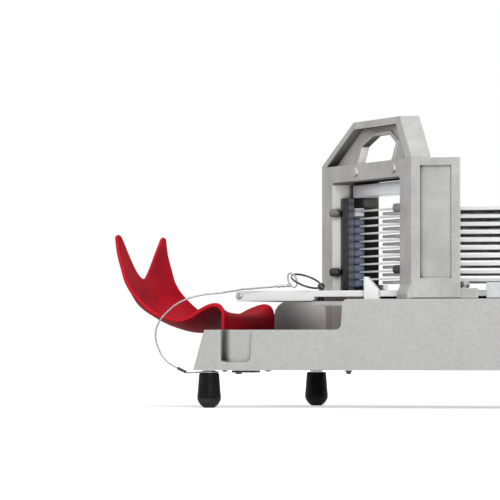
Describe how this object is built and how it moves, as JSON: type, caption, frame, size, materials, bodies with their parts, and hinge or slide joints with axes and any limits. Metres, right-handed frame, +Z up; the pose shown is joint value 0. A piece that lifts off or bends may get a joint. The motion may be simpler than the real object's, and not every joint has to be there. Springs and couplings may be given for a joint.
{
  "type": "tomato slicer",
  "caption": "Hand slicer for tomatoes: cast base on feet, skew blade frame with a stack of blades, finger pusher on rails, slide board, lock pin on a lanyard and a red slice catcher.",
  "frame": {"origin": "middle of the outer box, on the surface that the feet stand on", "axes": "+X from the catcher to the pusher end, +Y from the lanyard side to the far side, +Z up"},
  "size_m": [0.5044, 0.1912, 0.2354],
  "materials": {
    "cast_aluminium": "satin as cast",
    "steel": "plain",
    "dark_steel": "darkened",
    "blade_steel": "ground",
    "white_plastic": "matt",
    "spacer_plastic": "matt",
    "red_plastic": "gloss",
    "black_rubber": "matt",
    "black_plastic": "fine grain",
    "wire_rope": "stranded"
  },
  "bodies": {
    "base": {"base_casting": "cast_aluminium", "blade_01": "blade_steel", "blade_02": "blade_steel", "blade_03": "blade_steel", "blade_04": "blade_steel", "blade_05": "blade_steel", "blade_06": "blade_steel", "blade_07": "blade_steel", "blade_08": "blade_steel", "blade_09": "blade_steel", "blade_10": "blade_steel", "blade_clamp_far": "spacer_plastic", "blade_clamp_near": "spacer_plastic", "blade_frame": "cast_aluminium", "blade_holder_far": "dark_steel", "blade_holder_near": "dark_steel", "board_corner_guide": "white_plastic", "board_edge_screw": "steel", "cartridge_screw_far_lower": "dark_steel", "cartridge_screw_far_upper": "dark_steel", "cartridge_screw_near_lower": "dark_steel", "cartridge_screw_near_upper": "dark_steel", "cartridge_top_plate": "white_plastic", "end_block_far": "white_plastic", "end_block_near": "white_plastic", "foot_crimp": "dark_steel", "foot_far_left": "black_rubber", "foot_far_right": "black_rubber", "foot_loop": "wire_rope", "foot_near_left": "black_rubber", "foot_near_right": "black_rubber", "frame_bolt_far": "steel", "frame_bolt_near": "steel", "guide_rail_far": "steel", "guide_rail_near": "steel", "lanyard_cable": "wire_rope", "rail_screw_far_left": "steel", "rail_screw_far_right": "steel", "rail_screw_near_left": "steel", "rail_screw_near_right": "steel", "slide_board": "white_plastic", "spacer_stack_far": "spacer_plastic", "spacer_stack_near": "spacer_plastic", "underside_plate": "dark_steel", "washer_far_left": "steel", "washer_far_right": "steel", "washer_near_left": "steel", "washer_near_right": "steel"},
    "pusher": {"pusher_carriage": "cast_aluminium", "pusher_fingers": "white_plastic", "handle_rod": "steel", "handle_grip": "black_plastic", "handle_nut_far": "steel", "handle_nut_near": "steel", "guide_shoe_far": "white_plastic", "guide_shoe_near": "white_plastic"},
    "lock_pin": {"lock_pin": "dark_steel", "split_ring": "dark_steel", "ring_crimp": "steel"},
    "catcher": {"slice_catcher": "red_plastic"}
  },
  "joints": [
    {"name": "pusher_slide", "type": "slide", "parent": "base", "child": "pusher", "axis": [1, 0, 0], "range_m": [-0.012, 0.103]},
    {"name": "lock_pin_lift", "type": "slide", "parent": "base", "child": "lock_pin", "axis": [0, 0, 1], "range_m": [0, 0.02]},
    {"name": "catcher_lift", "type": "slide", "parent": "base", "child": "catcher", "axis": [0, 0, 1], "range_m": [0, 0.04]}
  ]
}
